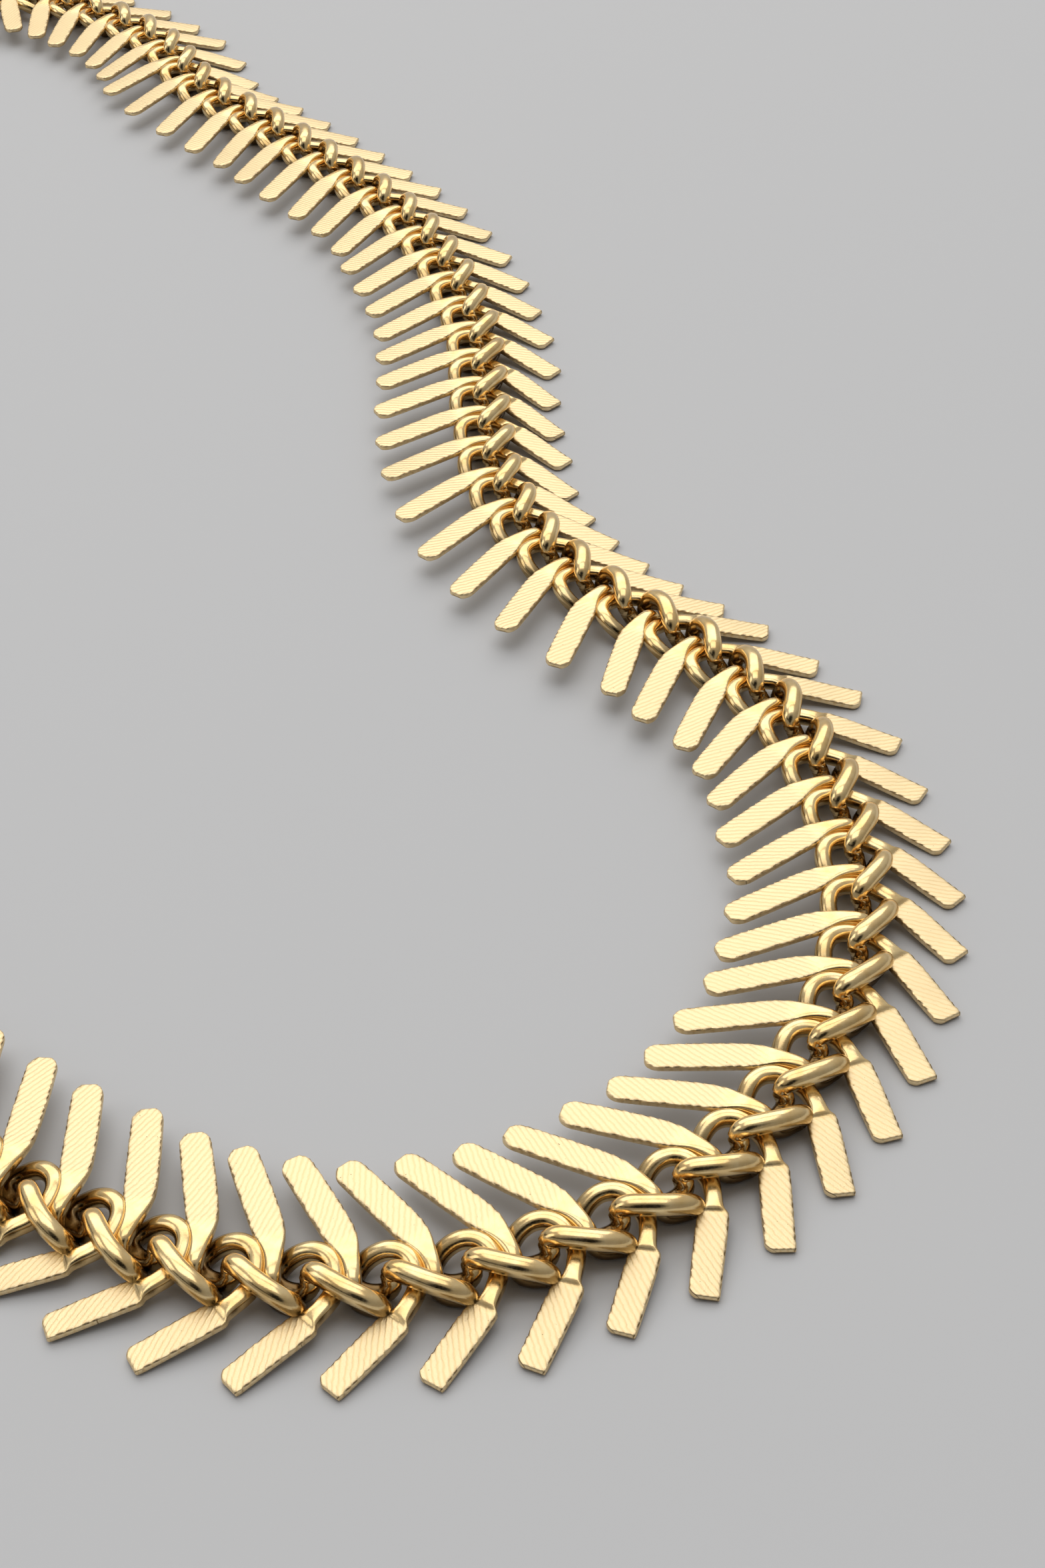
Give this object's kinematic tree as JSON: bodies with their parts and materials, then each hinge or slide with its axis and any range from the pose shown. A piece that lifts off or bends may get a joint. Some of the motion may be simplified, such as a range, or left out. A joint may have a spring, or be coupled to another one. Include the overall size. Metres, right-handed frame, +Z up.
{
  "type": "fishbone chain necklace",
  "caption": "Neck chain of hooked wire links whose flattened ends splay back like fish bones, closed by a plain clasp and lying open on a surface.",
  "frame": {"origin": "middle of the laid-out loop, on the surface that it lies on", "axes": "+Z up from the surface, +Y along the loop's long way and away from the viewer, +X to the viewer's right"},
  "size_m": [0.12, 0.189, 0.0032],
  "materials": {
    "gold_links": "polished gold-plated wire, paddles cut with a fine matt hatch",
    "gold_clasp": "polished gold plate"
  },
  "bodies": {
    "root": {"chain_first_half": "gold_links", "chain_second_half": "gold_links", "clasp": "gold_clasp"}
  },
  "joints": []
}
